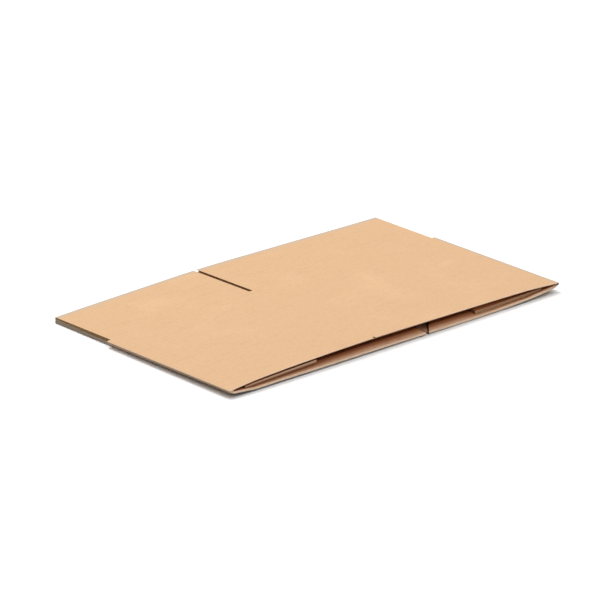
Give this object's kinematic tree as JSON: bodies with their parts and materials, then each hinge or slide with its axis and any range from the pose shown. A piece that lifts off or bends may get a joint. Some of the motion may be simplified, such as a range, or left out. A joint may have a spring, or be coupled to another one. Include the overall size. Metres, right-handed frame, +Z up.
{
  "type": "flattened cardboard box",
  "caption": "Corrugated cardboard box folded flat, with open top flaps at the back and its self-locking bottom folded in at the front.",
  "frame": {"origin": "centre of the bounding box at the floor", "axes": "+X along the front edge from the left side fold to the right one, +Y from the folded bottom edge to the open top flaps, +Z up"},
  "size_m": [0.532, 0.326, 0.019],
  "materials": {
    "kraft_board": "matte"
  },
  "bodies": {
    "root": {"flat_box": "kraft_board"}
  },
  "joints": []
}
